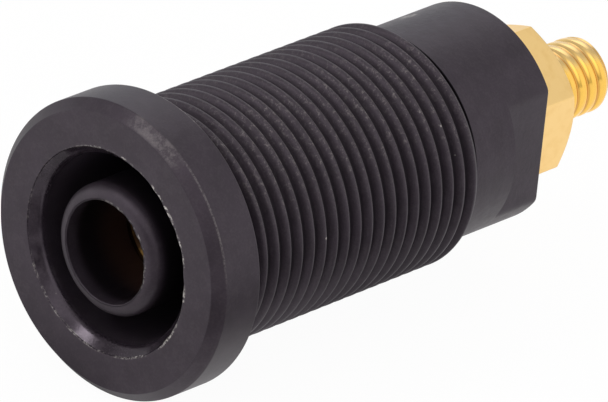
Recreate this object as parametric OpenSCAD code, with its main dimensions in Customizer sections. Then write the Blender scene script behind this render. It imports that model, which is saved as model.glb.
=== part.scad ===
// Panel-mount safety socket for a 4 mm shrouded plug.
// The axis lies along Y, the front face looks towards -Y, and the origin is
// the centre of the flange's back face, where the panel's front lies.

/* [Flange] */
// Diameter of the front flange
flange_d = 14.5; // [13.5:0.1:18]
// Thickness of the flange, front face to panel
flange_t = 2.7; // [1.5:0.1:5]
// Chamfer around the front rim of the flange
flange_chamfer = 0.5; // [0.1:0.05:1]

/* [Threaded barrel] */
// Outside diameter of the barrel's thread
thread_d = 12; // [11.5:0.1:13]
// Pitch of the barrel's thread
thread_pitch = 0.78; // [0.6:0.01:1.25]
// Depth of the barrel's thread
thread_depth = 0.36; // [0.2:0.02:0.44]
// Length from the flange's back to the end of the thread
thread_len = 16; // [8:0.1:18]

/* [Rear section] */
// Diameter of the plain rear section
rear_d = 10.7; // [10.2:0.1:11]
// Length from the flange's back to the rear face
barrel_len = 22.1; // [21:0.1:30]
// Broken edge around the rear face
rear_edge = 0.15; // [0.05:0.05:0.5]
// Distance between the two wrench flats
flats_w = 9; // [8.2:0.1:10]
// Length of the wrench flats, measured from the rear face
flats_len = 2.85; // [1:0.05:4]

/* [Plug recess] */
// Diameter of the recess that takes the plug's shroud
recess_d = 9.1; // [8.4:0.1:9.5]
// Depth of the recess, measured from the front face
recess_depth = 19.5; // [10:0.5:21]
// Chamfer around the mouth of the recess
mouth_chamfer = 0.5; // [0.1:0.05:0.8]
// Outside diameter of the insulating tube in the recess
tube_d = 6.4; // [6:0.1:7]
// Rounding of the insulating tube's front edge
tube_round = 0.6; // [0.1:0.05:0.6]

/* [Contact] */
// Outside diameter of the contact inside the housing
contact_d = 5; // [4.8:0.05:5.2]
// Radial gap between the pressed-in contact and the housing
contact_gap = 0; // [0:0.01:0.05]
// Distance of the contact's front end behind the front face
contact_setback = 3.9; // [0.5:0.1:6]
// Diameter of the bore that takes the plug's pin
pin_bore_d = 4; // [3.9:0.05:4.2]
// Depth of that bore, measured from the contact's front end
pin_bore_depth = 15.1; // [8:0.1:20]
// Lead-in chamfer at the mouth of the contact's bore
pin_lead = 0.2; // [0.05:0.05:0.3]

/* [Hexagon collar] */
// Width across the flats of the collar that seats on the rear face
hex_w = 6.9; // [6:0.1:8]
// Length of the collar
hex_len = 3.3; // [2:0.05:6]
// Angle by which one flat of the collar is turned from +X towards -Z
hex_turn = 8; // [-30:1:30]
// Width of the bevel on the collar's rear face, at the middle of a flat
hex_bevel = 0.15; // [0.05:0.05:0.4]
// Slope of that bevel against the rear face
hex_bevel_angle = 35; // [15:1:45]

/* [Stud] */
// Outside diameter of the stud's thread
stud_d = 3.9; // [3.5:0.05:5]
// Pitch of the stud's thread
stud_pitch = 0.7; // [0.6:0.05:0.8]
// Depth of the stud's thread
stud_depth = 0.4; // [0.2:0.02:0.44]
// Length of the stud behind the collar
stud_len = 4.2; // [3:0.1:15]
// Plain neck between the collar and the first crest
stud_neck = 0.05; // [0.05:0.05:1]

/* [Hidden] */

$fn = 96;
// Overshoot of cutters past the faces that they open
cut = 1;
// Thread form: crest width as a share of the pitch, flank slope
form_crest = 0.25;
form_flank = tan(30);

flange_r = flange_d / 2;
thread_r = thread_d / 2;
thread_root_r = thread_r - thread_depth;
rear_r = rear_d / 2;
recess_r = recess_d / 2;
tube_r = tube_d / 2;
contact_r = contact_d / 2;
pin_bore_r = pin_bore_d / 2;
hex_corner_r = hex_w / 2 / cos(30);
hex_face_r = hex_w / 2 - hex_bevel;
stud_r = stud_d / 2;
stud_root_r = stud_r - stud_depth;

// Places along the axis
front_y = -flange_t;
recess_y = front_y + recess_depth;
contact_y = front_y + contact_setback;
// Middle of the collar, where the shank and the stud's core meet inside it
hex_mid_y = barrel_len + hex_len / 2;
stud_y = barrel_len + hex_len;
stud_end_y = stud_y + stud_len;

// Half width of a crest at its top and at its foot
function top_half(pitch) = form_crest * pitch / 2;
function foot_half(pitch, depth) = top_half(pitch) + depth * form_flank;

// Middle of the stud's first crest
stud_first_y = stud_y + stud_neck + foot_half(stud_pitch, stud_depth);

// Outline of one crest centred at y: radius and place of its four corners
function crest(y, r, pitch, depth) = [
    [r - depth, y - foot_half(pitch, depth)],
    [r, y - top_half(pitch)],
    [r, y + top_half(pitch)],
    [r - depth, y + foot_half(pitch, depth)]
];

// Outline of the whole crests of a thread, the first one centred at first_y
function ridges(first_y, end_y, r, pitch, depth) = [
    for (y = [first_y : pitch : end_y - foot_half(pitch, depth)]) each crest(y, r, pitch, depth)
];

// Lays a shape of revolution along Y, with its height measured along Y
module along_y() {
    rotate([-90, 0, 0]) children();
}

// Solid outside of the housing, before the recess, the bore and the flats.
// The thread runs out into the flange's back, so half a crest stands there.
module housing_blank() {
    rotate_extrude() polygon(concat(
        [
            [0, front_y],
            [flange_r - flange_chamfer, front_y],
            [flange_r, front_y + flange_chamfer],
            [flange_r, 0],
            [thread_r, 0],
            [thread_r, top_half(thread_pitch)],
            [thread_root_r, foot_half(thread_pitch, thread_depth)]
        ],
        ridges(thread_pitch, thread_len, thread_r, thread_pitch, thread_depth),
        [
            [thread_root_r, thread_len],
            [rear_r, thread_len],
            [rear_r, barrel_len - rear_edge],
            [rear_r - rear_edge, barrel_len],
            [0, barrel_len]
        ]
    ));
}

// Ring-shaped space for the plug's shroud, around the insulating tube
module shroud_recess() {
    rotate_extrude() difference() {
        polygon([
            [tube_r - tube_round, front_y - cut],
            [recess_r + mouth_chamfer + cut, front_y - cut],
            [recess_r, front_y + mouth_chamfer],
            [recess_r, recess_y],
            [tube_r, recess_y],
            [tube_r, front_y + tube_round],
            [tube_r - tube_round, front_y + tube_round]
        ]);
        translate([tube_r - tube_round, front_y + tube_round]) circle(r = tube_round);
    }
}

// Space outside one wrench flat, on the +X side
module flat_cut() {
    translate([flats_w / 2, barrel_len - flats_len, -rear_r - cut])
        cube([rear_r, flats_len + cut, 2 * (rear_r + cut)]);
}

// Black moulded body with flange, thread, recess and insulating tube
module housing() {
    color([0.16, 0.15, 0.16]) difference() {
        along_y() housing_blank();
        along_y() shroud_recess();
        along_y() translate([0, 0, front_y - cut])
            cylinder(r = contact_r + contact_gap, h = barrel_len - front_y + 2 * cut);
        flat_cut();
        mirror([1, 0, 0]) flat_cut();
    }
}

// Hexagon collar with its rear corners bevelled in the lathe
module hex_collar() {
    bevel_reach = hex_corner_r + cut - hex_face_r;
    difference() {
        translate([0, 0, barrel_len]) rotate([0, 0, 30 + hex_turn])
            cylinder(r = hex_corner_r, h = hex_len, $fn = 6);
        rotate_extrude() polygon([
            [hex_face_r, stud_y],
            [hex_face_r + bevel_reach, stud_y - bevel_reach * tan(hex_bevel_angle)],
            [hex_face_r + bevel_reach, stud_y + cut],
            [hex_face_r, stud_y + cut]
        ]);
    }
}

// Turned outside of the contact: front tube, shank and threaded stud
module contact_blank() {
    rotate_extrude() polygon(concat(
        [
            [0, contact_y],
            [contact_r, contact_y],
            [contact_r, hex_mid_y],
            [stud_root_r, hex_mid_y]
        ],
        ridges(stud_first_y, stud_end_y, stud_r, stud_pitch, stud_depth),
        [
            [stud_root_r, stud_end_y],
            [0, stud_end_y]
        ]
    ));
}

// Gold-plated contact, turned in one piece from hexagon bar
module contact() {
    color([0.86, 0.66, 0.28]) along_y() difference() {
        union() {
            contact_blank();
            hex_collar();
        }
        translate([0, 0, contact_y - cut]) cylinder(r = pin_bore_r, h = pin_bore_depth + cut);
        translate([0, 0, contact_y - pin_lead])
            cylinder(r1 = pin_bore_r + 2 * pin_lead, r2 = pin_bore_r, h = 2 * pin_lead);
    }
}

housing();
contact();
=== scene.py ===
"""Visual model of a panel-mount safety banana socket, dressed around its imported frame.

Sizes inside the classes are millimetres. The socket lies along +Y with its front face towards -Y,
and the origin is the centre of the flange's back face.
"""
from __future__ import annotations

import logging
import math
from dataclasses import dataclass
from enum import Enum

import bpy
import numpy as np
from mathutils import Matrix, Vector

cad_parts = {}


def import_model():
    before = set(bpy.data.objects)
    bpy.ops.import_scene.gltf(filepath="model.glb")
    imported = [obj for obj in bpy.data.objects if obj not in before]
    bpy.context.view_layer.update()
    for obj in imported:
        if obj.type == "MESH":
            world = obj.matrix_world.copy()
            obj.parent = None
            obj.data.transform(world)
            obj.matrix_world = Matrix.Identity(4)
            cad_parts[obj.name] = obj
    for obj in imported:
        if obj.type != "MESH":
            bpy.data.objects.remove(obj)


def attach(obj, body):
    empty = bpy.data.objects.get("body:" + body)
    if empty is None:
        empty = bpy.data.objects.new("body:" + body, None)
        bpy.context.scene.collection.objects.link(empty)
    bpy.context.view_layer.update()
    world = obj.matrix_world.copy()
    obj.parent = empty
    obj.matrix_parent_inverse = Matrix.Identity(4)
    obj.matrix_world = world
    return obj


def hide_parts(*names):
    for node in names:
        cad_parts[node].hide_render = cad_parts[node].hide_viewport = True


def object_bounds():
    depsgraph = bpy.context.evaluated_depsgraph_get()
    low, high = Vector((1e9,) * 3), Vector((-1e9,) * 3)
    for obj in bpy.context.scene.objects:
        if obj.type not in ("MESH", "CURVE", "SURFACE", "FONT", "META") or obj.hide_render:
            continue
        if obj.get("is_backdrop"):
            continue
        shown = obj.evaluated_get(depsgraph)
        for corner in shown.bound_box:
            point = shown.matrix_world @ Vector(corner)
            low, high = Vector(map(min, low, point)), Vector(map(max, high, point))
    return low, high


LOG = logging.getLogger("banana_socket")
MM = 0.001
FULL_TURN = 2.0 * math.pi
IMAGE_WIDTH = 608
SENSOR_WIDTH = 36.0
WHITE = (1.0, 1.0, 1.0, 1.0)

Colour = tuple[float, float, float, float]
Ends = tuple[float, float]


class Operation(Enum):
    """Math node operations that shader values use."""

    ADD = "ADD"
    SUBTRACT = "SUBTRACT"
    MULTIPLY = "MULTIPLY"
    DIVIDE = "DIVIDE"
    POWER = "POWER"
    MINIMUM = "MINIMUM"
    MAXIMUM = "MAXIMUM"
    ABSOLUTE = "ABSOLUTE"


class VectorOperation(Enum):
    """Vector Math node operations that the graphs use."""

    ADD = "ADD"
    SCALE = "SCALE"
    MAXIMUM = "MAXIMUM"
    NORMALIZE = "NORMALIZE"
    DOT_PRODUCT = "DOT_PRODUCT"


@dataclass(frozen=True)
class Band:
    """A stretch of a coordinate: where its mask rises to 1 and where it falls to 0; either may be missing."""

    rise: Ends | None = None
    fall: Ends | None = None


@dataclass(frozen=True)
class Grain:
    """A noise texture: waves per millimetre, octaves and the weight of the finer octaves."""

    scale: float
    detail: float
    roughness: float


class Value:
    """A shader value: one output socket, with the arithmetic that adds Math nodes."""

    def __init__(self, graph: "Graph", socket: bpy.types.NodeSocket) -> None:
        """Keep the graph that the socket belongs to, and the socket."""
        self.graph = graph
        self.socket = socket

    def _math(self, operation: Operation, first: "Value | float", second: "Value | float" = 0.0) -> "Value":
        """Add one Math node.

        Args:
            operation: what the node does.
            first: its first operand.
            second: its second operand.

        Returns:
            The node's result.
        """
        return self.graph.node("ShaderNodeMath", {"operation": operation.value}, {0: first, 1: second})

    def __add__(self, other: "Value | float") -> "Value":
        """Sum of two values."""
        return self._math(Operation.ADD, self, other)

    def __radd__(self, other: float) -> "Value":
        """Sum with a number on the left."""
        return self._math(Operation.ADD, other, self)

    def __sub__(self, other: "Value | float") -> "Value":
        """Difference of two values."""
        return self._math(Operation.SUBTRACT, self, other)

    def __rsub__(self, other: float) -> "Value":
        """Difference from a number on the left."""
        return self._math(Operation.SUBTRACT, other, self)

    def __mul__(self, other: "Value | float") -> "Value":
        """Product of two values."""
        return self._math(Operation.MULTIPLY, self, other)

    def __rmul__(self, other: float) -> "Value":
        """Product with a number on the left."""
        return self._math(Operation.MULTIPLY, other, self)

    def __truediv__(self, other: "Value | float") -> "Value":
        """Quotient of two values."""
        return self._math(Operation.DIVIDE, self, other)

    def __rtruediv__(self, other: float) -> "Value":
        """Quotient with a number on the left."""
        return self._math(Operation.DIVIDE, other, self)

    def __pow__(self, other: float) -> "Value":
        """Power of a value."""
        return self._math(Operation.POWER, self, other)

    def __abs__(self) -> "Value":
        """Size of a value without its sign."""
        return self._math(Operation.ABSOLUTE, self)

    def at_most(self, other: "Value | float") -> "Value":
        """The smaller of two values."""
        return self._math(Operation.MINIMUM, self, other)

    def at_least(self, other: "Value | float") -> "Value":
        """The larger of two values."""
        return self._math(Operation.MAXIMUM, self, other)

    def step(self, low: float, high: float) -> "Value":
        """Soft step of the value.

        Args:
            low: where the step is still 0.
            high: where it has become 1; below low, the step falls instead of rising.

        Returns:
            A value from 0 to 1.
        """
        rising = low < high
        ends = (0.0, 1.0) if rising else (1.0, 0.0)
        sockets = {"Value": self, "From Min": min(low, high), "From Max": max(low, high),
                   "To Min": ends[0], "To Max": ends[1]}
        return self.graph.node("ShaderNodeMapRange", {"interpolation_type": "SMOOTHSTEP"}, sockets)

    def inside(self, band: Band) -> "Value":
        """Mask of the stretch that a band covers.

        Args:
            band: the stretch.

        Returns:
            1 within the stretch and 0 outside it, soft at its ends.
        """
        if band.fall is None:
            return self.step(*band.rise)
        until = self.step(band.fall[1], band.fall[0])
        return until if band.rise is None else self.step(*band.rise) * until


class Graph:
    """Node tree of one material or world, filled by expressions."""

    def __init__(self, tree: bpy.types.NodeTree) -> None:
        """Empty the tree and keep it."""
        self.tree = tree
        tree.nodes.clear()

    def node(self, kind: str, settings: dict, sockets: dict, output: int | str = 0) -> Value:
        """Add any node.

        Args:
            kind: the node's type name.
            settings: its own settings, which are set before its sockets.
            sockets: values or links of its inputs, by identifier, name or index.
            output: the output that is wanted, by name or index.

        Returns:
            That output.
        """
        made = self.tree.nodes.new(kind)
        for key, setting in settings.items():
            setattr(made, key, setting)
        for key, given in sockets.items():
            socket = self._input(made, key)
            if isinstance(given, Value):
                self.tree.links.new(given.socket, socket)
            else:
                socket.default_value = given
        return Value(self, made.outputs[output]) if len(made.outputs) else Value(self, None)

    @staticmethod
    def _input(made: bpy.types.Node, key: int | str) -> bpy.types.NodeSocket:
        """Find an input socket.

        Args:
            made: the node.
            key: the socket's identifier, name or index.

        Returns:
            The socket.
        """
        if isinstance(key, int):
            return made.inputs[key]
        for socket in made.inputs:
            if socket.identifier == key:
                return socket
        return made.inputs[key]

    def mix(self, factor: Value | float, first: Value | Colour, second: Value | Colour) -> Value:
        """Mix two colours.

        Args:
            factor: 0 gives the first colour, 1 the second.
            first: a colour or its link.
            second: a colour or its link.

        Returns:
            The mixed colour.
        """
        sockets = {"Factor_Float": factor, "A_Color": first, "B_Color": second}
        return self.node("ShaderNodeMix", {"data_type": "RGBA"}, sockets, 2)

    def vector(self, operation: VectorOperation, first: object, second: object = None) -> Value:
        """Add one Vector Math node.

        Args:
            operation: what the node does.
            first: a vector or its link.
            second: a second vector or its link, or the number that scales the first.

        Returns:
            The node's result.
        """
        sockets = {0: first}
        if second is not None:
            sockets["Scale" if operation is VectorOperation.SCALE else 1] = second
        output = "Value" if operation is VectorOperation.DOT_PRODUCT else "Vector"
        return self.node("ShaderNodeVectorMath", {"operation": operation.value}, sockets, output)

    def noise(self, place: Value, grain: Grain) -> Value:
        """Add a noise texture.

        Args:
            place: coordinates in millimetres.
            grain: the texture's scale and detail.

        Returns:
            The noise, about 0.5 on average.
        """
        sockets = {"Vector": place, "Scale": grain.scale, "Detail": grain.detail}
        sockets["Roughness"] = grain.roughness
        return self.node("ShaderNodeTexNoise", {"noise_dimensions": "3D"}, sockets)

    def joined(self, x: Value | float, y: Value | float, z: Value | float) -> Value:
        """A vector from three values."""
        return self.node("ShaderNodeCombineXYZ", {}, {"X": x, "Y": y, "Z": z})

    def upward(self) -> Value:
        """How far the surface faces up, from the mesh's own normals."""
        normal = self.node("ShaderNodeNewGeometry", {}, {}, "Normal")
        return self.node("ShaderNodeSeparateXYZ", {}, {"Vector": normal}, "Z")

    def bump(self, height: Value, strength: float, distance: float) -> Value:
        """Surface normal raised by a height.

        Args:
            height: the height, from 0 to 1.
            strength: share of the relief that shows.
            distance: relief in millimetres at height 1.

        Returns:
            The normal.
        """
        sockets = {"Strength": strength, "Distance": distance * MM, "Height": height}
        return self.node("ShaderNodeBump", {}, sockets, "Normal")

    def surface(self, sockets: dict) -> None:
        """Finish a material with a Principled shader.

        Args:
            sockets: values or links of the shader's inputs.
        """
        shader = self.node("ShaderNodeBsdfPrincipled", {}, sockets)
        self.node("ShaderNodeOutputMaterial", {}, {"Surface": shader})


@dataclass(frozen=True)
class Place:
    """Coordinates that the materials share, in millimetres."""

    point: Value
    across: Value
    along: Value
    radius: Value
    height: Value

    @classmethod
    def of(cls, graph: Graph) -> "Place":
        """Read the coordinates in a graph.

        Args:
            graph: the material's graph.

        Returns:
            The point itself, its place across and along the axis, its distance from the axis and its height.
        """
        metres = graph.node("ShaderNodeTexCoord", {}, {}, "Object")
        point = graph.vector(VectorOperation.SCALE, metres, 1.0 / MM)
        across = graph.node("ShaderNodeSeparateXYZ", {}, {"Vector": point}, "X")
        axes = across.socket.node.outputs
        along, height = Value(graph, axes["Y"]), Value(graph, axes["Z"])
        radius = (across * across + height * height) ** 0.5
        return cls(point, across, along, radius, height)


@dataclass(frozen=True)
class BlackPlastic:
    """Black moulded plastic: mottled satin skin, burrs on the mouth edges, dust in the thread, painted light
    and shade in the hollows and painted highlights on the front chamfer and the rear.
    """

    face_y: float
    mouth_radius: float
    bore_radius: float

    name: str = "black_plastic"
    body: Colour = (0.0128, 0.0094, 0.0130, 1.0)
    pale: Colour = (0.0225, 0.0170, 0.0230, 1.0)
    sheen: Colour = (1.0, 0.85, 1.0, 1.0)
    # dust: also the colour of painted light on the right of the flange's side below the axis
    dust: Colour = (0.20, 0.18, 0.17, 1.0)
    # burr: also the colour of a painted highlight on the rear
    burr: Colour = (0.50, 0.475, 0.44, 1.0)
    # colour of the scratched patch on the front chamfer, lightened as a painted highlight, and of the worn
    # edge
    scuff_and_highlight: Colour = (0.092, 0.084, 0.082, 1.0)
    # painted light on the recess's walls
    painted_recess_light: Colour = (0.060, 0.047, 0.063, 1.0)
    # painted shade: the tube's walls, the thread's roots and the neck behind the thread
    root: Colour = (0.0040, 0.0030, 0.0041, 1.0)
    # painted glow from the gold contact on the bore's wall near it
    painted_gold_glow: Colour = (0.045, 0.022, 0.016, 1.0)
    refraction: float = 1.5
    shine: float = 0.46
    satin: float = 0.46
    gloss: float = 0.17
    relief: float = 0.012
    relief_share: float = 0.35

    cloud: Grain = Grain(0.9, 3.0, 0.55)
    grain: Grain = Grain(9.0, 3.0, 0.6)
    fine: Grain = Grain(34.0, 2.0, 0.55)
    blotch: Grain = Grain(2.1, 3.0, 0.6)
    speck: Grain = Grain(5.0, 5.0, 0.8)
    patch: Grain = Grain(0.75, 2.0, 0.6)
    crumb: Grain = Grain(4.5, 3.0, 0.7)
    mote_scale: float = 0.55
    mote_size: Band = Band(fall=(0.02, 0.045))
    mote_share: float = 0.7

    flange_side: Band = Band((7.1, 7.2))
    painted_light_height: Band = Band((-6.0, -4.8), (-2.5, -0.5))
    painted_light_across: Band = Band((1.0, 2.0))
    recess_along: Band = Band((-2.2, -1.4), (17.0, 17.5))
    recess_radii: Band = Band((3.6, 3.8), (4.6, 4.7))
    recess_height: Band = Band((0.0, 4.0))
    tube_along: Band = Band((-2.3, -1.7), (17.0, 17.5))
    tube_radii: Band = Band(fall=(3.4, 3.6))
    bore_radii: Band = Band(fall=(2.6, 2.7))
    contact_glow: Band = Band((-1.2, 0.9))
    root_along: Band = Band((-0.1, 0.1), (15.9, 16.1))
    root_radii: Band = Band(fall=(5.62, 5.79))
    neck_along: Band = Band((15.9, 16.0), (16.57, 16.60))
    outer_radii: Band = Band((4.9, 5.0))
    dusty_along: Band = Band((-0.2, 0.6), (16.0, 17.0))
    thread_radii: Band = Band((5.3, 5.5))
    crest_radii: Band = Band((5.6, 5.85))
    dusty_slope: Band = Band((0.15, 0.75))
    dusty_across: Band = Band((-0.5, 2.5))
    rear_along: Band = Band((15.8, 16.8))
    lip_along: Band = Band(fall=(-2.2, -1.9))
    lip_radii: Band = Band((4.3, 4.5), (5.0, 5.12))
    chamfer_y: float = -2.2
    chamfer_along: Band = Band(fall=(-2.25, -2.1))
    chamfer_radii: Band = Band((6.72, 6.85))
    scuff_highlight_turn: Band = Band((0.82, 0.90))
    scuff_highlight_across: Band = Band((0.3, 1.2))
    worn_width: float = 0.06
    worn_across: Band = Band((3.0, 4.4))
    worn_height: Band = Band((0.6, 2.6))
    mote_radii: Band = Band((2.7, 2.8))
    mote_along: Band = Band(fall=(16.5, 17.5))
    burr_depth: Ends = (0.06, 0.16)
    burr_width: Ends = (0.05, 0.14)
    burr_shift: float = 0.02
    bore_burr: Band = Band(fall=(0.04, 0.1))
    rim_along: Band = Band((-0.1, -0.03))
    rim_height: Band = Band((6.6, 7.0))
    rim_across: Band = Band((-0.4, 0.0))
    # place, reach and height of a painted highlight on the rear
    highlight_middle: Ends = (-2.25, 19.3)
    highlight_reach: Ends = (0.4, 0.6)
    highlight_height: Band = Band((3.9, 4.3))

    def material(self) -> bpy.types.Material:
        """Make the material.

        Returns:
            The finished material.
        """
        made = bpy.data.materials.new(self.name)
        made.use_nodes = True
        graph = Graph(made.node_tree)
        place = Place.of(graph)
        cloud = graph.noise(place.point, self.cloud)
        grain = graph.noise(place.point, self.grain)
        fine = graph.noise(place.point, self.fine)
        blotch = graph.noise(place.point, self.blotch)
        specks = graph.noise(place.point, self.speck).step(0.5, 0.72)
        in_thread = place.along.inside(self.dusty_along) * place.radius.inside(self.thread_radii)
        tube = place.along.inside(self.tube_along) * place.radius.inside(self.tube_radii)
        dusting = self._dusting(graph, place, specks) * in_thread

        mottling = (cloud * 0.55 + grain * 0.45).step(0.34, 0.68)
        colour = graph.mix(mottling, self.body, self.pale)
        colour = graph.mix(self._smudges_and_painted_light(place, grain, blotch), colour, self.dust)
        colour = self._painted_light_and_shade(graph, place, tube, colour)
        colour = graph.mix(self._scuffs_and_painted_highlight(place, grain, blotch), colour, self.scuff_and_highlight)
        colour = graph.mix(dusting, colour, self.dust)
        flecks = self._flecks(graph, place).at_least(self._motes(graph, place))
        colour = graph.mix(flecks, colour, self.burr)

        rear = place.along.inside(self.rear_along)
        lip = place.along.inside(self.lip_along) * place.radius.inside(self.lip_radii)
        uneven = (grain - 0.5) * 0.16 + (blotch - 0.5) * 0.2 * rear
        rough = self.satin + uneven + dusting * 0.2 - lip * (self.satin - self.gloss) - tube * 0.1
        relief = grain * 0.6 + fine * 0.4 + specks * in_thread * 1.2 + blotch * (1.0 + rear * 3.0)
        graph.surface({
            "Base Color": colour,
            "Roughness": rough,
            "IOR": self.refraction,
            "Specular IOR Level": self.shine,
            "Specular Tint": self.sheen,
            "Normal": graph.bump(relief, self.relief_share, self.relief),
        })
        return made

    def _smudges_and_painted_light(self, place: Place, grain: Value, blotch: Value) -> Value:
        """Faint smudges on the whole skin, and painted light, in the dust colour, on the right of the
        flange's side below the axis.

        Args:
            place: the coordinates.
            grain: fine noise.
            blotch: coarse noise.

        Returns:
            A mask from 0 to 1.
        """
        smudge = (grain * 0.5 + blotch * 0.5).step(0.47, 0.6)
        # painted light on the right of the flange's side below the axis
        painted_low_light = place.radius.inside(self.flange_side) * place.height.inside(self.painted_light_height)
        return smudge * 0.03 + painted_low_light * place.across.inside(self.painted_light_across) * 0.05

    def _painted_light_and_shade(self, graph: Graph, place: Place, tube: Value, colour: Value) -> Value:
        """Paint light and shade into the hollows: painted light on the recess's walls, painted shade on the
        tube's walls with a painted glow from the gold contact near the bore, and painted shade in the
        thread's roots and in the neck behind the thread.

        Args:
            graph: the material's graph.
            place: the coordinates.
            tube: mask of the tube's walls behind its rounded end.
            colour: the colour so far.

        Returns:
            The shaded colour.
        """
        # painted light on the recess's walls, more of it above the axis
        wall = place.along.inside(self.recess_along) * place.radius.inside(self.recess_radii)
        upper = 0.11 + 0.89 * place.height.inside(self.recess_height)
        colour = graph.mix(wall * upper, colour, self.painted_recess_light)
        # painted shade on the tube's walls behind its rounded end
        colour = graph.mix(tube, colour, self.root)
        # painted glow from the gold contact on the bore's wall near it
        near_contact = place.radius.inside(self.bore_radii) * place.along.inside(self.contact_glow)
        colour = graph.mix(tube * near_contact, colour, self.painted_gold_glow)
        # painted shade in the thread's roots and in the neck behind the thread
        roots = place.along.inside(self.root_along) * place.radius.inside(self.root_radii)
        grooves = (roots + place.along.inside(self.neck_along)).at_most(1.0)
        return graph.mix(grooves * place.radius.inside(self.outer_radii), colour, self.root)

    def _dusting(self, graph: Graph, place: Place, specks: Value) -> Value:
        """Dust on the crests of the thread, where they face up and to the right.

        Args:
            graph: the material's graph.
            place: the coordinates.
            specks: noise that breaks the dust up.

        Returns:
            A mask from 0 to 1.
        """
        settled = 0.25 + 0.75 * place.across.inside(self.dusty_across)
        settled = settled * graph.upward().inside(self.dusty_slope)
        return (specks * 0.95 + 0.03) * place.radius.inside(self.crest_radii) * settled

    def _scuffs_and_painted_highlight(self, place: Place, grain: Value, blotch: Value) -> Value:
        """Patch of scratches on the flange's front chamfer, lightened further as a painted highlight, and the
        worn edge beside it.

        Args:
            place: the coordinates.
            grain: fine noise that breaks the patch up.
            blotch: coarse noise that does the same.

        Returns:
            A mask from 0 to 1.
        """
        # scratched patch on the front chamfer's upper right, lightened as a painted highlight
        chamfer = place.radius.inside(self.chamfer_radii) * place.along.inside(self.chamfer_along)
        turn = place.height / place.radius
        side = turn.inside(self.scuff_highlight_turn) * place.across.inside(self.scuff_highlight_across)
        patch = chamfer * side * (0.15 + grain.step(0.44, 0.62) * 0.3 + blotch.step(0.42, 0.58) * 0.55)
        line = (abs(place.along - self.chamfer_y) / self.worn_width).step(1.0, 0.4)
        edge = place.radius.inside(self.flange_side) * line
        right = place.across.inside(self.worn_across) * place.height.inside(self.worn_height)
        return patch.at_least(edge * right * (0.25 + grain.step(0.42, 0.56) * 0.65))

    def _motes(self, graph: Graph, place: Place) -> Value:
        """A few bright motes of dust, far apart.

        Args:
            graph: the material's graph.
            place: the coordinates.

        Returns:
            A mask from 0 to 1.
        """
        settings = {"voronoi_dimensions": "3D", "feature": "F1"}
        sockets = {"Vector": place.point, "Scale": self.mote_scale}
        distance = graph.node("ShaderNodeTexVoronoi", settings, sockets, "Distance")
        where = place.radius.inside(self.mote_radii) * place.along.inside(self.mote_along)
        return distance.inside(self.mote_size) * where * self.mote_share

    def _flecks(self, graph: Graph, place: Place) -> Value:
        """Pale flecks: burr on the mouth and the bore, the flange's back rim and a painted highlight on the
        rear.

        Args:
            graph: the material's graph.
            place: the coordinates.

        Returns:
            A mask from 0 to 1.
        """
        crumbs = graph.noise(place.point, self.crumb).step(0.45, 0.62)
        rim = place.along.inside(self.rim_along) * place.radius.inside(self.flange_side)
        rim = rim * place.height.inside(self.rim_height) * place.across.inside(self.rim_across)
        # painted highlight on the rear, near the top
        beside = (place.across - self.highlight_middle[0]) / self.highlight_reach[0]
        past = (place.along - self.highlight_middle[1]) / self.highlight_reach[1]
        rear_highlight = (past * past + beside * beside).step(1.0, 0.1) * place.height.inside(self.highlight_height)
        marks = (rim * (0.15 + crumbs * 0.6)).at_least(rear_highlight * (0.12 + crumbs * 0.4))
        return self._burrs(graph, place, crumbs).at_least(marks)

    def _burrs(self, graph: Graph, place: Place, crumbs: Value) -> Value:
        """Burr along the edges of the mouth and the bore, more of it on the right.

        Args:
            graph: the material's graph.
            place: the coordinates.
            crumbs: noise that breaks the burr up.

        Returns:
            A mask from 0 to 1.
        """
        front = place.along.step(self.face_y + self.burr_depth[1], self.face_y + self.burr_depth[0])
        right = (place.across + place.height * 0.5).step(-1.0, 3.0)
        share = (0.12 + right * 0.88 + place.height.step(-1.0, -3.5) * 0.3).at_most(1.0)
        wide = self.burr_width[0] + right * (self.burr_width[1] - self.burr_width[0])
        from_mouth = abs(place.radius - self.mouth_radius + self.burr_shift * right)
        mouth = (from_mouth / wide).step(1.0, 0.5) * share
        bore = abs(place.radius - self.bore_radius - self.burr_shift).inside(self.bore_burr)
        bore = bore * (place.across + place.height * 0.8).step(0.4, 2.0) * 0.5
        patches = graph.noise(place.point, self.patch).step(0.41, 0.53)
        return (mouth + bore).at_most(1.0) * front * patches * crumbs


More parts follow.
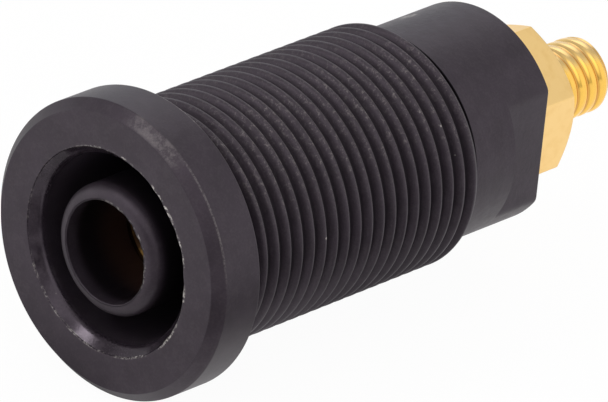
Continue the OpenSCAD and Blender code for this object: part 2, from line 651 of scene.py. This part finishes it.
@dataclass(frozen=True)
class GoldPlate:
    """Gold plating on turned brass: a satin collar and a bright stud, with painted light on the stud's upward
    faces and painted shade in its thread's roots and on the part inside the housing.
    """

    collar_end: float
    stud_aside: tuple[float, float, float]

    name: str = "gold_plate"
    satin_and_top_light_colour: Colour = (0.98, 0.68, 0.285, 1.0)
    bright_colour: Colour = (0.98, 0.595, 0.12, 1.0)
    shaded_colour: Colour = (0.045, 0.022, 0.010, 1.0)
    painted_groove_shade: Colour = (0.60, 0.30, 0.07, 1.0)
    tarnish_colour: Colour = (0.80, 0.47, 0.12, 1.0)
    satin: float = 0.4
    bright: float = 0.17
    relief: float = 0.006
    relief_share: float = 0.3
    turning: Grain = Grain(26.0, 2.0, 0.6)
    stain: Grain = Grain(1.4, 3.0, 0.55)
    grain: Grain = Grain(16.0, 2.0, 0.6)
    lit_top_slope: Band = Band((0.62, 0.92))
    groove_radii: Band = Band(fall=(1.80, 1.845))
    shaded_along: Band = Band(fall=(19.0, 21.0))

    def material(self) -> bpy.types.Material:
        """Make the material.

        Returns:
            The finished material.
        """
        made = bpy.data.materials.new(self.name)
        made.use_nodes = True
        graph = Graph(made.node_tree)
        place = Place.of(graph)
        turning = graph.noise(graph.joined(place.along, place.radius, 0.0), self.turning)
        stain = graph.noise(place.point, self.stain)
        grain = graph.noise(place.point, self.grain)
        on_stud = place.along.step(self.collar_end - 0.02, self.collar_end + 0.1)
        # painted light: the stud's upward faces take the paler satin colour
        painted_top_light = graph.upward().inside(self.lit_top_slope)
        colour = graph.mix(on_stud * (1.0 - painted_top_light), self.satin_and_top_light_colour, self.bright_colour)
        sideways, upwards = place.across - self.stud_aside[0], place.height - self.stud_aside[2]
        from_stud = (sideways * sideways + upwards * upwards) ** 0.5
        # painted shade in the roots of the stud's thread, less of it on the upward faces
        groove_shade = on_stud * from_stud.inside(self.groove_radii)
        colour = graph.mix(groove_shade * (0.75 - 0.45 * painted_top_light), colour, self.painted_groove_shade)
        colour = graph.mix(place.along.inside(self.shaded_along), colour, self.shaded_colour)
        colour = graph.mix(stain.step(0.45, 0.75) * 0.25, colour, self.tarnish_colour)
        base = self.satin + (self.bright - self.satin) * on_stud
        graph.surface({
            "Base Color": colour,
            "Metallic": 1.0,
            "Roughness": base + (turning - 0.5) * 0.12 + (grain - 0.5) * 0.08,
            "Normal": graph.bump(turning * 0.7 + grain * 0.3, self.relief_share, self.relief),
        })
        return made


@dataclass(frozen=True)
class Corner:
    """One corner of a turned outline: its place along the axis, its radius and its rounding."""

    y: float
    r: float
    rounding: float = 0.0


def rounded(corners: list[Corner], steps: int = 4, hold: float = 0.03) -> list[tuple[float, float]]:
    """Round the corners of an open outline.

    Args:
        corners: the corners in order; the first and the last are kept as they are.
        steps: facets of each rounding.
        hold: length kept flat next to each rounding, so that shading stays even on the long faces.

    Returns:
        Places along the axis and radii of the outline's rings.
    """
    path: list[tuple[float, float]] = [(corners[0].y, corners[0].r)]
    for before, corner, after in zip(corners, corners[1:], corners[2:]):
        here = Vector((corner.y, corner.r))
        if corner.rounding <= 0.0:
            path.append((corner.y, corner.r))
            continue
        into = (Vector((before.y, before.r)) - here).normalized()
        out = (Vector((after.y, after.r)) - here).normalized()
        half = into.angle(out) / 2.0
        reach = corner.rounding / math.tan(half)
        centre = here + (into + out).normalized() * (corner.rounding / math.sin(half))
        start, end = here + into * reach, here + out * reach
        path.append(tuple(start + into * hold))
        first, last = start - centre, end - centre
        sweep = first.angle(last)
        for step in range(steps + 1):
            share = step / steps
            weights = math.sin((1.0 - share) * sweep), math.sin(share * sweep)
            spot = centre + (first * weights[0] + last * weights[1]) / math.sin(sweep)
            path.append((spot.x, spot.y))
        path.append(tuple(end + out * hold))
    path.append((corners[-1].y, corners[-1].r))
    return path


@dataclass(frozen=True)
class ScrewThread:
    """A right-hand thread whose worn crests and roots run into each other in one wave."""

    radius: float
    pitch: float
    depth: float
    fullness: float
    phase: float = 0.0
    rows: int = 12

    def shares(self) -> np.ndarray:
        """Places of the rows within one pitch, from a crest's middle."""
        return np.arange(self.rows) / self.rows

    def radius_at(self, share: np.ndarray) -> np.ndarray:
        """Radius of the thread's surface.

        Args:
            share: distance from a crest's middle, in pitches.

        Returns:
            The radius at each place.
        """
        fall = (0.5 - 0.5 * np.cos(FULL_TURN * np.asarray(share))) ** self.fullness
        return self.radius - self.depth * fall


class TurnedSkin:
    """Closed skin of a turned piece, woven ring by ring around the Y axis."""

    same = 1e-5

    def __init__(self, angles: np.ndarray) -> None:
        """Start with no rings.

        Args:
            angles: angles of the columns about +Y, from +Z.
        """
        self.angles = angles
        self.turns = angles / FULL_TURN
        self.points: list[np.ndarray] = []
        self.quads: list[np.ndarray] = []
        self.count = 0
        self.first: np.ndarray | None = None
        self.last: np.ndarray | None = None
        self.last_place: np.ndarray | None = None
        self.aside = np.zeros(3)

    def _add(self, y: np.ndarray, r: np.ndarray, angles: np.ndarray) -> np.ndarray:
        """Add points.

        Args:
            y: their places along the axis.
            r: their radii.
            angles: their angles.

        Returns:
            Their numbers.
        """
        self.points.append(np.stack([r * np.sin(angles), y, r * np.cos(angles)], axis=1) + self.aside)
        numbers = self.count + np.arange(len(y))
        self.count += len(y)
        return numbers

    def _weave(self, before: np.ndarray, after: np.ndarray) -> None:
        """Add the faces between two rings."""
        self.quads.append(np.stack([before, np.roll(before, -1), np.roll(after, -1), after], axis=1))

    def ring(self, y: float | np.ndarray, r: float | np.ndarray) -> None:
        """Add a ring and weave it to the one before; a point that stays where it is isn't doubled.

        Args:
            y: place along the axis, one for all columns or one for each.
            r: radius, one for all columns or one for each.
        """
        place = np.stack([np.broadcast_to(part, self.angles.shape) for part in (y, r)], axis=1).astype(float)
        if self.last is None:
            fresh = np.ones(len(place), bool)
            numbers = np.zeros(len(place), int)
        else:
            fresh = np.abs(place - self.last_place).max(axis=1) > self.same
            numbers = self.last.copy()
        if np.all(place[:, 1] == 0.0):
            numbers = np.full(len(place), self._add(place[:1, 0], place[:1, 1], self.angles[:1])[0])
        elif fresh.any():
            numbers[fresh] = self._add(place[fresh, 0], place[fresh, 1], self.angles[fresh])
        if self.last is None:
            self.first = numbers
        else:
            self._weave(self.last, numbers)
        self.last, self.last_place = numbers, place

    def rings(self, path: list[tuple[float, float]]) -> None:
        """Add one plain ring for each place and radius of a path."""
        for y, r in path:
            self.ring(y, r)

    def thread(self, thread: ScrewThread, start: float, end: float, near: float = 0.006) -> None:
        """Weave a thread whose rows follow its helix.

        Args:
            thread: the thread's form.
            start: where it begins along the axis.
            end: where it ends.
            near: rows this close to an end are gathered into it.
        """
        lead = self.turns + thread.phase
        self.ring(start, thread.radius_at(start / thread.pitch - lead))
        first = self.last
        last_radius = thread.radius_at(end / thread.pitch - lead)
        last = self._add(np.full(len(lead), end), last_radius, self.angles)
        per_turn = thread.rows
        turns = np.arange(math.floor(start / thread.pitch) - 3, math.ceil(end / thread.pitch) + 3)
        shares = (turns[:, None] + thread.shares()[None, :]).ravel()
        heights = (shares[:, None] + lead[None, :]) * thread.pitch
        radii = np.broadcast_to(thread.radius_at(shares)[:, None], heights.shape)
        numbers = np.where(heights < (start + end) / 2.0, first[None, :], last[None, :])
        free = (heights > start + near) & (heights < end - near)
        angles = np.broadcast_to(self.angles[None, :], heights.shape)
        numbers[free] = self._add(heights[free], radii[free], angles[free])
        rows = np.concatenate([numbers[:-per_turn], numbers[per_turn:, :1]], axis=1)
        corners = [rows[:-1, :-1], rows[:-1, 1:], rows[1:, 1:], rows[1:, :-1]]
        self.quads.append(np.stack([part.ravel() for part in corners], axis=1))
        self.last = last
        self.last_place = np.stack([np.full(len(lead), end), last_radius], axis=1)

    def close(self) -> None:
        """Weave the last ring to the first one."""
        self._weave(self.last, self.first)

    def mesh(self, name: str, crease: float = 38.0) -> bpy.types.Mesh:
        """Make the mesh, in metres.

        Args:
            name: the mesh's name.
            crease: edges sharper than this many degrees stay sharp.

        Returns:
            The mesh.
        """
        quads = np.concatenate(self.quads)
        whole = np.all(quads != np.roll(quads, 1, axis=1), axis=1)
        faces = quads[whole].tolist()
        for quad in quads[~whole].tolist():
            kept = [n for n, before in zip(quad, quad[-1:] + quad[:-1]) if n != before]
            if len(set(kept)) >= 3:
                faces.append(kept)
        made = bpy.data.meshes.new(name)
        made.from_pydata((np.concatenate(self.points) * MM).tolist(), [], faces)
        made.validate()
        made.shade_smooth()
        made.set_sharp_from_angle(angle=math.radians(crease))
        return made


class SubAssembly:
    """A piece of the socket that is built as a mesh and dressed in one finish."""

    node: str = ""
    slot: str = ""

    def outline(self) -> TurnedSkin:
        """The piece's woven skin."""
        raise NotImplementedError

    def build(self) -> bpy.types.Object:
        """Make the piece and tie it to the frame.

        Returns:
            The piece.
        """
        piece = bpy.data.objects.new(self.node + "_skin", self.outline().mesh(self.node + "_skin"))
        bpy.context.scene.collection.objects.link(piece)
        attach(piece, "root")
        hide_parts(self.node)
        return piece

    @staticmethod
    def dress(piece: bpy.types.Object, finish: BlackPlastic | GoldPlate) -> None:
        """Give the piece its finish."""
        piece.data.materials.clear()
        piece.data.materials.append(finish.material())


@dataclass
class Housing(SubAssembly):
    """Moulded body: flange, threaded barrel, flatted rear, ring-shaped recess and centre tube."""

    flange_radius: float = 7.25
    flange_thickness: float = 2.7
    flange_chamfer: float = 0.5
    flange_edge: float = 0.07
    flange_back: float = 0.95
    face_edge: float = 0.06
    rim_edge: float = 0.08
    seam: float = 0.2
    thread_radius: float = 6.0
    thread_pitch: float = 0.78
    thread_depth: float = 0.44
    thread_fullness: float = 1.45
    thread_end: float = 15.98
    thread_edge: float = 0.1
    neck_radius: float = 5.14
    neck_end: float = 16.57
    neck_hold: float = 0.08
    rear_radius: float = 5.35
    rear_step: float = 0.12
    rear_end: float = 22.1
    rear_edge: float = 0.06
    flat_distance: float = 4.5
    flat_start: float = 19.25
    flat_blend: float = 0.1
    flat_runout: float = 0.03
    soft: float = 0.02
    hold: float = 0.05
    recess_radius: float = 4.55
    recess_floor: float = 16.8
    recess_round: float = 0.1
    mouth_chamfer: float = 0.5
    mouth_step: float = 0.07
    mouth_lip: float = 0.6
    mouth_edge: float = 0.03
    mouth_inset: float = 0.02
    mouth_lift: float = 0.01
    mouth_land: float = 0.12
    tube_radius: float = 3.2
    tube_round: float = 0.62
    bore_radius: float = 2.5
    bore_edge: float = 0.05
    bore_land: Ends = (0.3, 0.6)
    ragged: float = 0.012
    torn: float = 0.05
    torn_angle: float = 1.0
    torn_depth: float = 0.09
    torn_reach: float = 0.08
    torn_waves: tuple[tuple[float, float, float], ...] = ((0.5, 9.0, 0.7), (0.3, 23.0, 2.0), (0.2, 37.0, 0.0))
    columns_flat: int = 44
    columns_round: int = 76

    node = "housing"
    slot = "black_plastic"

    @property
    def mouth_radius(self) -> float:
        """Radius of the recess's mouth at the front face."""
        return self.recess_radius + self.mouth_chamfer

    def angles(self) -> np.ndarray:
        """Column angles, with a column on each corner of the two flats.

        Returns:
            The angles, rising.
        """
        half = math.acos(self.flat_distance / self.rear_radius)
        quarter = math.pi / 2.0
        stops = [quarter - half, quarter + half, 3 * quarter - half, 3 * quarter + half, 5 * quarter - half]
        counts = [self.columns_flat, self.columns_round, self.columns_flat, self.columns_round]
        runs = [np.linspace(a, b, n, endpoint=False) for a, b, n in zip(stops, stops[1:], counts)]
        return np.sort(np.concatenate(runs) % FULL_TURN)

    def barrel_thread(self) -> ScrewThread:
        """Fine thread of the barrel."""
        return ScrewThread(self.thread_radius, self.thread_pitch, self.thread_depth, self.thread_fullness)

    def outline(self) -> TurnedSkin:
        """Weave the housing from the flange's side round to the front face.

        Returns:
            The closed skin.
        """
        skin = TurnedSkin(self.angles())
        front = -self.flange_thickness
        rim = front + self.flange_chamfer
        face = self.flange_radius - self.flange_chamfer
        mouth = self.mouth_radius
        flange = [
            Corner(rim + self.seam, self.flange_radius),
            Corner(0.0, self.flange_radius, self.flange_edge),
            Corner(0.0, self.flange_radius - self.flange_back),
        ]
        skin.rings(rounded(flange))
        self._barrel(skin)
        self._rear(skin)
        inside = [
            Corner(self.rear_end, self.bore_radius + self.bore_land[0]),
            Corner(self.rear_end, self.bore_radius, self.bore_edge),
            Corner(front, self.bore_radius, self.bore_edge),
            Corner(front, self.tube_radius, self.tube_round),
            Corner(self.recess_floor, self.tube_radius, self.recess_round),
            Corner(self.recess_floor, self.recess_radius, self.recess_round),
            Corner(front + self.mouth_step + self.mouth_chamfer, self.recess_radius, self.mouth_lip),
            Corner(front + self.mouth_step, mouth - self.mouth_inset, self.mouth_edge),
            Corner(front + self.mouth_lift, mouth + self.mouth_lift, self.mouth_edge),
            Corner(front, mouth + self.mouth_land),
            Corner(front, face, self.face_edge),
            Corner(rim, self.flange_radius, self.rim_edge),
            Corner(rim + self.seam, self.flange_radius),
        ]
        for y, r in rounded(inside, steps=5)[:-1]:
            skin.ring(y, r + self._torn_edge(skin.angles, y, r))
        skin.close()
        return skin

    def _torn_edge(self, angles: np.ndarray, y: float, r: float) -> np.ndarray:
        """Uneven line of the mouth's edge and of the bore's edge, where burr hangs inwards.

        Args:
            angles: angles of the columns.
            y: place of the ring along the axis.
            r: radius of the ring.

        Returns:
            What the edge adds to the radius at each column; 0 away from the two edges.
        """
        aside = min(abs(r - self.mouth_radius), abs(r - self.bore_radius))
        at_edge = y < self.torn_depth - self.flange_thickness and aside < self.torn_reach
        waves = sum(size * np.sin(count * angles + shift) for size, count, shift in self.torn_waves)
        hanging = np.maximum(np.cos(angles - self.torn_angle), 0.0) ** 3 * (1.0 + waves)
        return float(at_edge) * -(self.ragged * waves + self.torn * hanging)

    def _barrel(self, skin: TurnedSkin) -> None:
        """Weave the barrel's thread and the step behind it.

        Args:
            skin: the skin so far.
        """
        thread = self.barrel_thread()
        skin.thread(thread, 0.0, self.thread_end - self.thread_edge)
        crest = skin.last_place[:, 1]
        skin.ring(self.thread_end - 0.3 * self.thread_edge, crest - 0.25 * self.thread_edge)
        skin.ring(self.thread_end, np.maximum(crest - self.thread_edge, self.rear_radius + self.rear_step))
        skin.ring(self.thread_end, self.neck_radius)
        skin.ring(self.neck_end - self.soft, self.neck_radius)

    def _rear(self, skin: TurnedSkin) -> None:
        """Weave the plain rear with its two flats and its end face.

        Args:
            skin: the skin so far.
        """
        flat = self.flat_distance / np.maximum(np.abs(np.sin(skin.angles)), 1e-6)
        near = np.maximum(self.flat_blend - np.abs(flat - self.rear_radius), 0.0)
        flatted = np.minimum(self.rear_radius, flat) - near ** 2 / (4.0 * self.flat_blend)
        skin.ring(self.neck_end, self.rear_radius - self.soft)
        skin.ring(self.neck_end + self.soft, self.rear_radius)
        skin.ring(self.neck_end + self.neck_hold, self.rear_radius)
        skin.ring(self.flat_start - self.hold, self.rear_radius)
        skin.ring(self.flat_start, self.rear_radius)
        skin.ring(self.flat_start + self.flat_runout, flatted)
        skin.ring(self.flat_start + self.flat_runout + self.hold, flatted)
        skin.ring(self.rear_end - self.rear_edge - self.hold, flatted)
        skin.ring(self.rear_end - self.rear_edge, flatted)
        skin.ring(self.rear_end - 0.3 * self.rear_edge, flatted - 0.3 * self.rear_edge)
        skin.ring(self.rear_end, flatted - self.rear_edge)
        skin.ring(self.rear_end, flatted - self.rear_edge - self.hold)
        skin.ring(self.rear_end, self.bore_radius + self.bore_land[1])


@dataclass
class Contact(SubAssembly):
    """Turned contact: sleeve for the plug's pin, collar and threaded stud."""

    sleeve_radius: float = 2.5
    bore_radius: float = 2.0
    front: float = 1.2
    bore_floor: float = 16.3
    bore_round: float = 0.1
    lead: float = 0.2
    sleeve_edge: float = 0.04
    hex_width: float = 6.9
    hex_turn: float = 8.0
    hex_edge: float = 0.06
    hex_bevel: float = 0.15
    hex_bevel_angle: float = 35.0
    collar_start: float = 22.1
    collar_end: float = 25.4
    collar_edge: float = 0.05
    stud_end: float = 29.55
    stud_radius: float = 1.89
    stud_edge: float = 0.12
    stud_pitch: float = 0.7
    stud_depth: float = 0.10
    stud_fullness: float = 2.1
    stud_phase: float = 0.45
    stud_rows: int = 16
    stud_centre: float = 0.6
    neck: float = 0.05
    collar_aside: tuple[float, float, float] = (0.055, 0.0, -0.07)
    stud_aside: tuple[float, float, float] = (0.114, 0.0, -0.148)
    columns_side: int = 28

    node = "contact"
    slot = "gold_plate"

    def stud_thread(self) -> ScrewThread:
        """Thread of the stud."""
        return ScrewThread(self.stud_radius, self.stud_pitch, self.stud_depth, self.stud_fullness,
                           self.stud_phase, self.stud_rows)

    def outline(self) -> TurnedSkin:
        """Weave the contact from the bottom of its bore to the end of its stud.

        Returns:
            The closed skin.
        """
        skin = TurnedSkin(self.angles())
        thread = self.stud_thread()
        body = [
            Corner(self.bore_floor, 0.0),
            Corner(self.bore_floor, self.bore_radius, self.bore_round),
            Corner(self.front + self.lead, self.bore_radius, self.sleeve_edge),
            Corner(self.front, self.bore_radius + self.lead, self.sleeve_edge),
            Corner(self.front, self.sleeve_radius, self.sleeve_edge),
            Corner(self.collar_start, self.sleeve_radius),
        ]
        skin.rings(rounded(body))
        skin.aside = np.array(self.collar_aside)
        self._collar(skin)
        skin.aside = np.array(self.stud_aside)
        skin.ring(self.collar_end, self.stud_radius - thread.depth)
        skin.thread(thread, self.collar_end + self.neck, self.stud_end - self.stud_edge)
        reach = np.minimum(skin.last_place[:, 1], self.stud_radius - 0.7 * self.stud_edge)
        skin.ring(self.stud_end - 0.3 * self.stud_edge, reach)
        skin.ring(self.stud_end, reach - 0.4 * self.stud_edge)
        skin.ring(self.stud_end, self.stud_centre)
        skin.ring(self.stud_end, 0.0)
        return skin

    def angles(self) -> np.ndarray:
        """Column angles, with a column on each corner of the hexagon and more of them near it.

        Returns:
            The angles, rising.
        """
        first = math.radians((90.0 + self.hex_turn + 30.0) % 60.0)
        share = (1.0 - np.cos(np.linspace(0.0, math.pi, self.columns_side, endpoint=False))) / 2.0
        sides = np.arange(6)[:, None] + share[None, :]
        return first + sides.ravel() * FULL_TURN / 6.0

    def hexagon(self, angles: np.ndarray) -> np.ndarray:
        """Distance of the hexagon's rounded outline from the axis.

        Args:
            angles: angles of the columns.

        Returns:
            The distance at each angle.
        """
        half = FULL_TURN / 12.0
        flat = math.radians(90.0 + self.hex_turn)
        aside = (angles - flat + half) % (2.0 * half) - half
        from_corner = half - np.abs(aside)
        centre = (self.hex_width / 2.0 - self.hex_edge) / math.cos(half)
        limit = math.atan2(self.hex_edge * math.sin(half), centre + self.hex_edge * math.cos(half))
        within = np.maximum(self.hex_edge ** 2 - (centre * np.sin(from_corner)) ** 2, 0.0)
        corner = centre * np.cos(from_corner) + np.sqrt(within)
        return np.where(from_corner < limit, corner, self.hex_width / 2.0 / np.cos(aside))

    def _collar(self, skin: TurnedSkin) -> None:
        """Weave the hexagon collar with its bevelled rear corners.

        Args:
            skin: the skin so far.
        """
        outline = self.hexagon(skin.angles)
        edge = self.collar_edge
        face = self.hex_width / 2.0 - self.hex_bevel
        slope = math.radians(self.hex_bevel_angle)
        rim = self.collar_end - (outline - face) * math.tan(slope)
        skin.ring(self.collar_start, outline - edge)
        skin.ring(self.collar_start + edge, outline)
        skin.ring(rim - 3.0 * edge, outline)
        skin.ring(rim - edge, outline)
        skin.ring(rim - 0.1 * edge, outline - 0.15 * edge)
        skin.ring(rim + edge * math.sin(slope), outline - edge * math.cos(slope))
        skin.ring(self.collar_end - 0.3 * edge, face + 0.3 * edge / math.tan(slope))
        skin.ring(self.collar_end, face - edge)


@dataclass(frozen=True)
class PhotoCamera:
    """Camera at the photograph's place, in the socket's frame."""

    place: tuple[float, float, float] = (295.8745, -327.8931, 223.7919)
    right: tuple[float, float, float] = (0.71863943, 0.68925686, 0.09209972)
    up: tuple[float, float, float] = (-0.37063886, 0.26759678, 0.88939238)
    forward: tuple[float, float, float] = (-0.58837422, 0.67328816, -0.44777098)
    focal_pixels: float = 10786.2

    def build(self) -> bpy.types.Object:
        """Make the camera and use it for the scene.

        Returns:
            The camera.
        """
        lens = bpy.data.cameras.new("photo_camera")
        lens.sensor_width = SENSOR_WIDTH
        lens.lens = self.focal_pixels * SENSOR_WIDTH / IMAGE_WIDTH
        lens.clip_start = 0.01
        camera = bpy.data.objects.new("photo_camera", lens)
        bpy.context.scene.collection.objects.link(camera)
        backward = [-part for part in self.forward]
        turn = Matrix((self.right, self.up, backward)).transposed().to_4x4()
        camera.matrix_world = Matrix.Translation(Vector(self.place) * MM) @ turn
        bpy.context.scene.camera = camera
        return camera


@dataclass(frozen=True)
class Glow:
    """A soft patch of the tent that is lighter or darker than the rest."""

    azimuth: float
    elevation: float
    spread: float
    strength: float
    tint: tuple[float, float, float] = (1.0, 1.0, 1.0)

    def way(self) -> tuple[float, float, float]:
        """Direction of the patch's middle; azimuth 0 is the socket's front, 90 its +X side."""
        around, up = math.radians(self.azimuth), math.radians(self.elevation)
        return math.cos(up) * math.sin(around), -math.cos(up) * math.cos(around), math.sin(up)


@dataclass(frozen=True)
class FloorShade:
    """A patch of the floor that reflections see darker, in millimetres across and along the axis."""

    across: tuple[Band, ...]
    shares: tuple[float, ...]
    along: Band

    def mask(self, place: Place) -> Value:
        """How dark the patch is, from 0 to 1."""
        first, *others = [place.across.inside(band) * share for band, share in zip(self.across, self.shares)]
        return sum(others, first) * place.along.inside(self.along)


@dataclass(frozen=True)
class Studio:
    """Light tent: pale floor, white surround and a dome that is dim where the camera stands."""

    floor_height: float = -7.26
    floor_size: float = 2.4
    floor_white: Colour = (0.95, 0.93, 0.92, 1.0)
    seen_share: float = 0.96
    mirrored_share: float = 0.85
    mirrored_level: float = 1.04
    mirrored_dim: float = 0.12
    dome_radius: float = 1.15
    dome_rows: int = 16
    dome_columns: int = 48
    dome_level: float = 0.58
    dome_least: float = 0.02
    shades: tuple[FloorShade, ...] = (
        FloorShade((Band((7.0, 14.0), (26.0, 42.0)),), (1.0,), Band(fall=(12.0, 28.0))),
        FloorShade((Band((0.0, 6.0), (18.0, 30.0)), Band((-10.0, -2.0), (18.0, 30.0))), (0.55, 0.45),
                   Band((-18.0, -13.0), (-9.0, -5.0))),
        FloorShade((Band(fall=(-1.0, 3.0)),), (0.7,), Band((-8.0, -4.0), (3.0, 8.0))),
        FloorShade((Band((-2.0, 1.0), (9.0, 14.0)),), (0.45,), Band((5.0, 8.0), (16.0, 21.0))),
    )
    glows: tuple[Glow, ...] = (
        Glow(320.0, 6.0, 40.0, 1.15),
        Glow(332.0, 40.0, 34.0, 0.5),
        Glow(329.0, 49.0, 10.0, 9.0),
        Glow(8.0, 33.0, 30.0, 0.75),
        Glow(20.0, 0.0, 43.0, -0.95),
        Glow(140.0, 14.0, 42.0, 0.5),
        Glow(64.0, 42.0, 42.0, 0.85),
        Glow(219.0, 46.0, 26.0, 0.78),
        Glow(236.0, 8.0, 44.0, 0.3, (0.9, 0.98, 1.1)),
        Glow(26.0, 62.0, 40.0, 0.1, (0.95, 0.97, 1.0)),
        Glow(130.0, 62.0, 34.0, 0.15, (0.94, 0.97, 1.0)),
        Glow(316.0, 43.0, 28.0, -0.62),
    )

    def build(self) -> None:
        """Make the surround, the floor and the dome."""
        self._world()
        self._floor()
        self._dome()

    @staticmethod
    def _rays(graph: Graph) -> tuple[Value, Value]:
        """Flags of the rays that meet the white background.

        Args:
            graph: the graph that asks.

        Returns:
            1 for camera rays, and 1 for reflected or transmitted ones.
        """
        camera = graph.node("ShaderNodeLightPath", {}, {}, "Is Camera Ray")
        outputs = camera.socket.node.outputs
        glossy, through = Value(graph, outputs["Is Glossy Ray"]), Value(graph, outputs["Is Transmission Ray"])
        return camera, glossy.at_least(through)

    @staticmethod
    def _sheet(name: str, points: list, faces: list, material: bpy.types.Material) -> bpy.types.Object:
        """Make an object of the studio.

        Args:
            name: its name.
            points: its points, in metres.
            faces: its faces.
            material: its material.

        Returns:
            The object.
        """
        mesh = bpy.data.meshes.new(name)
        mesh.from_pydata(points, [], faces)
        mesh.materials.append(material)
        made = bpy.data.objects.new(name, mesh)
        bpy.context.scene.collection.objects.link(made)
        return made

    def _world(self) -> None:
        """Make a white surround at strength 1 for the camera and for reflections."""
        world = bpy.data.worlds.new("white_surround")
        world.use_nodes = True
        bpy.context.scene.world = world
        graph = Graph(world.node_tree)
        camera, mirrored = self._rays(graph)
        white = graph.node("ShaderNodeBackground", {}, {"Color": WHITE, "Strength": 1.0})
        dim = graph.node("ShaderNodeBackground", {}, {"Color": WHITE, "Strength": self.dome_level})
        mixed = graph.node("ShaderNodeMixShader", {}, {0: camera.at_least(mirrored), 1: dim, 2: white})
        graph.node("ShaderNodeOutputWorld", {}, {"Surface": mixed})

    def _floor(self) -> None:
        """Make the pale floor, which keeps a light shadow of the socket."""
        half, height = self.floor_size / 2.0, self.floor_height * MM
        corners = [(-half, -half, height), (half, -half, height), (half, half, height), (-half, half, height)]
        floor = self._sheet("floor", corners, [(0, 1, 2, 3)], self._floor_white())
        floor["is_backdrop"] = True

    def _floor_white(self) -> bpy.types.Material:
        """Make the floor's material: white to the camera, and shaded in places where it is mirrored.

        Returns:
            The material.
        """
        made = bpy.data.materials.new("white_floor")
        made.use_nodes = True
        graph = Graph(made.node_tree)
        place = Place.of(graph)
        camera, mirrored = self._rays(graph)
        share = (camera * self.seen_share).at_least(mirrored * self.mirrored_share)
        plain = graph.node("ShaderNodeBsdfDiffuse", {}, {"Color": self.floor_white})
        dim, *others = [shade.mask(place) for shade in self.shades]
        for other in others:
            dim = dim.at_least(other)
        level = self.mirrored_level - (self.mirrored_level - self.mirrored_dim) * dim
        level = level * mirrored + (1.0 - mirrored)
        grey = graph.joined(level, level, level)
        glow = graph.node("ShaderNodeEmission", {}, {"Color": grey, "Strength": 1.0})
        mixed = graph.node("ShaderNodeMixShader", {}, {0: share, 1: plain, 2: glow})
        graph.node("ShaderNodeOutputMaterial", {}, {"Surface": mixed})
        return made

    def _dome(self) -> None:
        """Make the tent's dome, which lights the socket and which only reflections see."""
        rows, columns = self.dome_rows, self.dome_columns
        points = []
        for row in range(rows):
            height = math.sin(math.pi / 2.0 * row / rows)
            wide = math.sqrt(1.0 - height * height)
            for column in range(columns):
                around = FULL_TURN * column / columns
                points.append((wide * math.cos(around), wide * math.sin(around), height))
        points.append((0.0, 0.0, 1.0))
        faces = []
        for row in range(rows - 1):
            for column in range(columns):
                a, b = row * columns + column, row * columns + (column + 1) % columns
                faces.append((a, b, b + columns, a + columns))
        last = (rows - 1) * columns
        faces += [(last + c, last + (c + 1) % columns, len(points) - 1) for c in range(columns)]
        lift = Vector((0.0, 0.0, self.floor_height * MM))
        points = [tuple(Vector(point) * self.dome_radius + lift) for point in points]
        dome = self._sheet("tent_dome", points, faces, self._dome_light())
        dome.visible_camera = False
        dome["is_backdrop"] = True

    def _dome_light(self) -> bpy.types.Material:
        """Make the dome's light from its level and its glows.

        Returns:
            The material.
        """
        made = bpy.data.materials.new("tent_light")
        made.use_nodes = True
        graph = Graph(made.node_tree)
        place = graph.node("ShaderNodeTexCoord", {}, {}, "Object")
        way = graph.vector(VectorOperation.NORMALIZE, place)
        colour = graph.joined(self.dome_level, self.dome_level, self.dome_level)
        for glow in self.glows:
            facing = graph.vector(VectorOperation.DOT_PRODUCT, way, glow.way())
            mask = facing.step(math.cos(math.radians(glow.spread)), 1.0)
            extra = tuple(glow.strength * part for part in glow.tint)
            patch = graph.vector(VectorOperation.SCALE, extra, mask)
            colour = graph.vector(VectorOperation.ADD, colour, patch)
        safe = graph.vector(VectorOperation.MAXIMUM, colour, (self.dome_least,) * 3)
        light = graph.node("ShaderNodeEmission", {}, {"Color": safe, "Strength": 1.0})
        graph.node("ShaderNodeOutputMaterial", {}, {"Surface": light})
        return made


def plain_list(box: object) -> list | float:
    """Nested lists of plain numbers from a box.

    Args:
        box: a number, a vector or a nest of them.

    Returns:
        The same as plain lists.
    """
    if isinstance(box, (int, float)):
        return float(box)
    return [plain_list(part) for part in box]


def main() -> None:
    """Build the socket, its studio and its camera, and report each piece."""
    logging.basicConfig(level=logging.INFO, format="%(name)s: %(message)s")
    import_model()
    cad_box = plain_list(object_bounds())
    bpy.context.scene.view_settings.view_transform = "Standard"
    PhotoCamera().build()
    housing, contact = Housing(), Contact()
    plastic = BlackPlastic(-housing.flange_thickness, housing.mouth_radius, housing.bore_radius)
    plating = GoldPlate(contact.collar_end, contact.stud_aside)
    for part, finish in ((housing, plastic), (contact, plating)):
        piece = part.build()
        part.dress(piece, finish)
        LOG.info("%s: %d faces, %s", piece.name, len(piece.data.polygons), finish.name)
    Studio().build()
    {"cad": cad_box, "visual": plain_list(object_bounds())}


if __name__ == "__main__":
    main()
